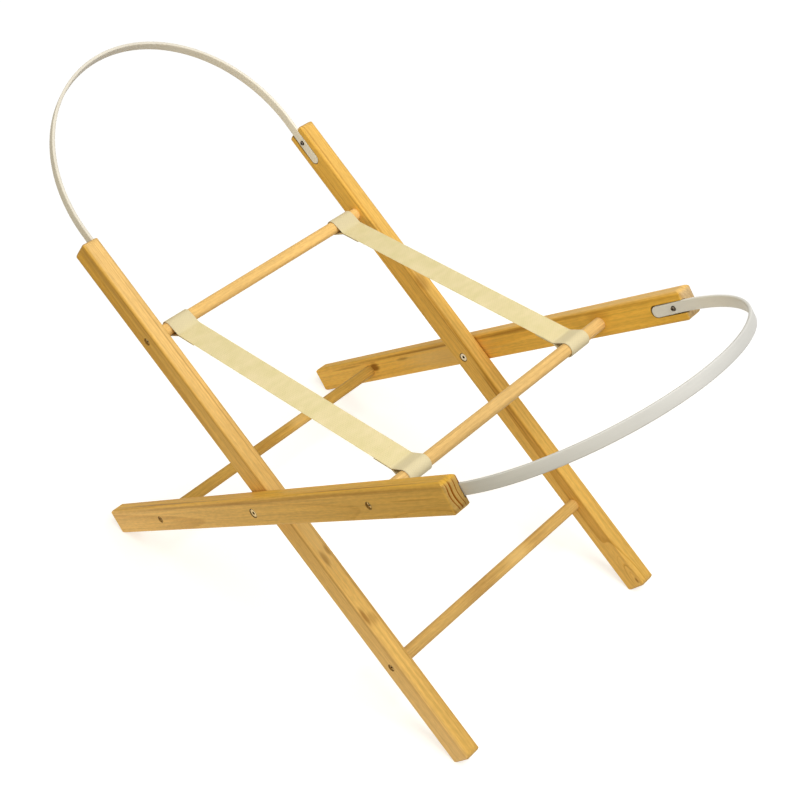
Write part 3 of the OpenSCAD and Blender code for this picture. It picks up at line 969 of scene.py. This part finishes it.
colour = add(tree, "Mix", {0: at_ends, 6: cream, 7: linear(beige)}, data_type="RGBA")
# Painted shade of the cross threads: the colour darkens and lightens with their relief.
shade = add(tree, "MapRange", {0: thread, 1: -1.0, 2: 1.0, 3: thread_shade_dark, 4: thread_shade_pale})
colour = add(tree, "HueSaturation", {"Color": colour, "Value": shade})
relief = add(tree, "Bump", {"Height": thread, "Strength": 0.12, "Distance": thread_deep})
dull_cloth = {
    "Base Color": colour, "Normal": relief, "Roughness": 0.85, "Specular IOR Level": 0.2,
    "Sheen Weight": 0.15, "Sheen Roughness": 0.5,
}
cotton = add(tree, "BsdfPrincipled", dull_cloth)
add(tree, "OutputMaterial", {"Surface": cotton})
print("webbing:", round(strap_w / rib), "ribs, cross threads drawn", round(thread_step / mm, 1), "mm apart")

# %% [markdown]
# The section of the webbing is 1.6 mm thick with round selvages, and its faces rise and fall with
# the ribs. It is the same all along the strap.

# %% Two straps
selvage_r = 0.7 * mm
rib_deep = 0.16 * mm
points_per_rib = 5
strap_y = 147 * mm


def webbing_section():
    """Ring of (across, out) points: ribs on both faces and round selvages."""
    half_w = strap_w / 2
    count = round(strap_w / rib) * points_per_rib
    face = []
    for i in range(count + 1):
        a = -half_w + strap_w * i / count
        sink = rib_deep * (0.5 - 0.5 * math.cos(math.tau * (a + half_w) / rib + math.pi))
        to_edge = half_w - abs(a)
        if to_edge < selvage_r:
            sink += selvage_r - math.sqrt(max(0.0, selvage_r ** 2 - (selvage_r - to_edge) ** 2))
        face.append((a, strap_t / 2 - sink))
    return face + [(a, -o) for a, o in reversed(face)]


sections = [webbing_section()] * len(tape)
straps = {}
for side, way in side_y.items():
    places = []
    for x, z, heading, run in tape:
        point = Vector((pivot.x + x, way * strap_y, rail_z + z))
        places.append((point, Vector((-math.sin(heading), 0, math.cos(heading))), run))
    straps[side] = sweep("webbing_strap_" + side, places, sections, across_stand, webbing)
print("straps:", sorted(straps))

# %% [markdown]
# ## Stitching
#
# Two rows of lockstitch close each loop behind the seam. They are sewn in cotton thread of the webbing's
# own colour: cream and dull, with a twist that is too fine to show and is drawn as fuzz of 0.7 mm.

# %% Spun cotton thread
thread_fuzz = 0.714 * mm
fuzz_deep = 0.1 * mm
thread_finish, tree = empty_finish("spun_cotton_thread")
place = add(tree, "TexCoord", {}).outputs["Object"]
fuzz = add(tree, "TexNoise", {"Vector": place, "Scale": 1 / thread_fuzz, "Detail": 2.0})
colour = add(tree, "ValToRGB", {0: fuzz}, stops=((noise_low, "#DCCB94"), (noise_high, "#F0E3B8")))
relief = add(tree, "Bump", {"Height": fuzz, "Strength": 0.3, "Distance": fuzz_deep})
dull_thread = {
    "Base Color": colour, "Normal": relief, "Roughness": 0.75, "Specular IOR Level": 0.25,
    "Sheen Weight": 0.1,
}
cotton = add(tree, "BsdfPrincipled", dull_thread)
add(tree, "OutputMaterial", {"Surface": cotton})
print("thread fuzz drawn", round(thread_fuzz / mm, 1), "mm wide")

# %% [markdown]
# A row of stitches could be a line of bumps in the webbing's finish, but it is what holds the strap. So
# every stitch is a short, low bead in the mesh, 3 mm long, on the upper and on the under side. All the
# stitches of a strap are one piece.

# %% Rows of lockstitch
stitch_len = 3.0 * mm
stitch_gap = 0.5 * mm
stitch_r = 0.45 * mm
stitch_step = stitch_len + stitch_gap
stitch_sunk = 0.12 * mm
selvage_clear = 1 * mm
stitch_count = int((strap_w - 2 * selvage_clear) / stitch_step)
rows_behind_seam = (3 * mm, 24 * mm)
bead_rings = 7
bead_sides = 8
bead_low = 0.6
bead_tip = 0.15
bead_round = 0.6


def bead(x, y, z):
    """Points of one stitch: a low bead, longest across the strap."""
    points = []
    for r in range(bead_rings):
        lengthwise = math.pi * r / (bead_rings - 1)
        thick = stitch_r * max(bead_tip, math.sin(lengthwise)) ** bead_round
        along = y - stitch_len / 2 * math.cos(lengthwise)
        for s in range(bead_sides):
            angle = math.tau * s / bead_sides
            points.append((x + thick * math.cos(angle), along, z + bead_low * thick * math.sin(angle)))
    return points


def stitch_rows(name, strap_middle):
    """All stitches of one strap."""
    points = []
    faces = []
    for end in (-1, 1):
        for behind in rows_behind_seam:
            x = pivot.x + end * (rail_apart - seam_x - bend_run - behind)
            for top in (-1, 1):
                z = rail_z + top * (strap_t - stitch_sunk)
                for i in range(stitch_count):
                    faces += tube_faces(len(points), bead_rings, bead_sides)
                    points += bead(x, strap_middle + (i - (stitch_count - 1) / 2) * stitch_step, z)
    stitches = new_piece(name, points, faces, thread_finish)
    stitches.data.shade_smooth()
    return stitches


stitching = {side: stitch_rows("strap_stitching_" + side, way * strap_y) for side, way in side_y.items()}
print("stitches:", stitch_count, "in a row,", len(stitching["near"].data.polygons), "faces on a strap")

# %% [markdown]
# The straps and their stitches keep their place in the stand, and stand for the CAD straps, which are
# hidden.

# %% Put the straps in for the CAD straps
for side, strap in straps.items():
    stitches = stitching[side]
    for piece in (strap, stitches):
        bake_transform(piece)
    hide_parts("strap_" + side)
print("straps sewn, cut to", round(strap_w / mm), "by", round(strap_len / mm), "mm")

# %% [markdown]
# ## Hoop plastic
#
# The hoops are extruded PVC strip, ivory white. Extrusion leaves a smooth satin skin with faint lines
# along the strip where the die scraped it, about 1.5 mm apart. The strip drifts from one tone at the far
# end to another at the near one, and the tail in the recess has a tone of its own. These tones are
# painted light and shade: the far end is brighter with the light that comes through the thin white plastic.

# %% Extruded ivory PVC
die_line = (166.7 * mm, 1.515 * mm)
die_line_deep = 0.2 * mm
line_dark = 0.98
line_pale = 1.01
skin_smooth = 0.46
skin_rough = 0.56
ivory_cloud = (71.43 * mm, 16.67 * mm)
painted_light_run = (80 * mm, 320 * mm)
tail_run = (35 * mm, 80 * mm)


def extruded_pvc(which, low, high, tail_painted_light, far_end_painted_light, near_end_painted_light):
    """Ivory PVC strip with faint die lines along it, and painted light and shade along its length."""
    finish, tree = empty_finish("extruded_ivory_pvc_" + which)
    strip = add(tree, "UVMap", {}, uv_map=strip_map)
    lines = drawn_out(tree, strip, *die_line)
    cloud = drawn_out(tree, strip, *ivory_cloud)
    ivory = add(tree, "ValToRGB", {0: cloud}, stops=((noise_low, low), (noise_high, high)))
    run = add(tree, "SeparateXYZ", {0: strip}).outputs[0]
    tone = add(tree, "MapRange", {0: lines, 1: noise_low, 2: noise_high, 3: line_dark, 4: line_pale})
    # Painted light and shade: the tone drifts along the strip and changes again in the tail.
    for stretch, first, last in ((painted_light_run, far_end_painted_light, near_end_painted_light), (tail_run, tail_painted_light, 1.0)):
        tones = {0: run, 1: stretch[0], 2: stretch[1], 3: first, 4: last}
        slow = add(tree, "MapRange", tones, interpolation_type="SMOOTHSTEP")
        tone = add(tree, "Math", {0: tone, 1: slow}, operation="MULTIPLY")
    colour = add(tree, "HueSaturation", {"Color": ivory, "Value": tone})
    rough = add(tree, "MapRange", {0: lines, 1: noise_low, 2: noise_high, 3: skin_smooth, 4: skin_rough})
    relief = add(tree, "Bump", {"Height": lines, "Strength": 0.06, "Distance": die_line_deep})
    satin = {
        "Base Color": colour, "Roughness": rough, "Normal": relief,
        "IOR": 1.53, "Specular IOR Level": 0.3,
    }
    plastic = add(tree, "BsdfPrincipled", satin)
    add(tree, "OutputMaterial", {"Surface": plastic})
    return finish


# Each strip's tones of painted light and shade: tail, far end and near end.
ivory_strips = {
    "outer": extruded_pvc("outer", "#D2D3D3", "#DADBDB", tail_painted_light=0.9, far_end_painted_light=1.38, near_end_painted_light=0.93),
    "inner": extruded_pvc("inner", "#E3DFD7", "#EBE8E0", tail_painted_light=1.06, far_end_painted_light=1.22, near_end_painted_light=1.02),
}
print("ivory strips:", [finish.name for finish in ivory_strips.values()])

# %% [markdown]
# ## Hoops
#
# A hoop is a straight strip, 15 by 4 mm with rounded edges, sprung into an arch. Its ends lie in
# round-ended recesses in the legs' inner faces, where a screw holds each one. A strip that is bent by
# its ends takes a shape close to half an ellipse, so the line is a straight tail, half an ellipse and
# the other tail, with places at even steps along it. It is drawn flat first, as distances from the
# screws along the hoop's rise and from the stand's middle.

# %% Line of a hoop
hoop_half_w = 7.5 * mm
hoop_half_t = 2 * mm
hoop_tail = 26.7 * mm
hoop_tip = -hoop_tail - hoop_half_w
tip_steps = (0.12, 0.4, 0.9, 1.7, 2.8, 4.2, 5.8, 7.5)
tail_step = 6 * mm
arch_step = 5 * mm
arch_start = {"outer": 4 * mm, "inner": 33 * mm}
arch_rise = {"outer": 210 * mm, "inner": 195 * mm}
arch_points = 720


def even_steps(line, step):
    """The line's points at even steps, always with its first and last."""
    runs = [0.0]
    for a, b in zip(line, line[1:]):
        runs.append(runs[-1] + (b - a).length)
    count = max(1, round(runs[-1] / step))
    even = []
    k = 0
    for i in range(count + 1):
        want = runs[-1] * i / count
        while k < len(runs) - 2 and runs[k + 1] < want:
            k += 1
        part = (want - runs[k]) / (runs[k + 1] - runs[k])
        even.append(line[k].lerp(line[k + 1], part))
    return even


def hoop_line(which):
    """Flat points (rise, across) from the far tail's tip over the arch to the near one's."""
    span = inside_y[which] + hoop_half_t
    start = Vector((arch_start[which], span))
    tail = [Vector((hoop_tip + step * mm, span)) for step in tip_steps]
    turns = [math.pi / 2 * i / arch_points for i in range(arch_points + 1)]
    arch = [start + Vector((arch_rise[which] * math.sin(t), span * math.cos(t) - span)) for t in turns]
    half = tail + even_steps([tail[-1], start], tail_step)[1:] + even_steps(arch, arch_step)[1:]
    return half + [Vector((p.x, -p.y)) for p in reversed(half[:-1])]


print("places along a hoop:", {which: len(hoop_line(which)) for which in arch_rise})

# %% [markdown]
# The strip has soft edges. Towards a tail's end its section narrows and then thins, which rounds the end
# off. The hoop leans a little from the line of its legs, as the recesses do.

# %% Two hoops
hoop_edge_r = 1.5 * mm
roundest = 0.95
edge_points = 6
hoop_lean = math.radians(1.5023)
hoop_screw = 371 * mm


def hoop_section(from_tip):
    """Ring of (across, out) points of the strip, at a distance from its tip."""
    narrows = hoop_half_w - min(from_tip, hoop_half_w)
    half_w = math.sqrt(hoop_half_w ** 2 - narrows ** 2)
    thins = hoop_edge_r - min(from_tip, hoop_edge_r)
    half_t = hoop_half_t - hoop_edge_r + math.sqrt(hoop_edge_r ** 2 - thins ** 2)
    edge_r = min(hoop_edge_r, roundest * half_w, roundest * half_t)
    ring = []
    for k, (a, o) in enumerate(((1, 1), (-1, 1), (-1, -1), (1, -1))):
        for i in range(edge_points):
            angle = math.pi / 2 * (k + i / (edge_points - 1))
            across = a * (half_w - edge_r) + edge_r * math.cos(angle)
            out = o * (half_t - edge_r) + edge_r * math.sin(angle)
            ring.append((across, out))
    return ring


def hoop_strip(which, finish):
    """The hoop of one frame, swept from one tail to the other."""
    slope = leg_angle + hoop_lean
    rise_way = Vector((lean_x[which] * math.cos(slope), 0, math.sin(slope)))
    across = Vector((-lean_x[which] * math.sin(slope), 0, math.cos(slope)))
    screw = along_leg(which, hoop_screw)
    line = hoop_line(which)
    places = []
    run = 0.0
    for i, p in enumerate(line):
        before = line[max(i - 1, 0)]
        after = line[min(i + 1, len(line) - 1)]
        way = (after - before).normalized()
        run += (p - before).length
        out = way.y * rise_way - way.x * across_stand
        places.append((screw + p.x * rise_way + p.y * across_stand, out, run))
    sections = [hoop_section(p.x - hoop_tip) for p in line]
    return sweep("sprung_hoop_" + which, places, sections, across, finish)


for which, finish in ivory_strips.items():
    hoop = hoop_strip(which, finish)
    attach(hoop, which + "_frame")
    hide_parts(which + "_hoop")
print("hoops:", sorted(ivory_strips))

# %% See how far the box moved, and finish
dressed_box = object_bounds()
moved = [abs(a - b) for c, d in zip(cad_box, dressed_box) for a, b in zip(c, d)]
print("the sides of the box moved by at most", round(max(moved) / mm, 2), "mm")
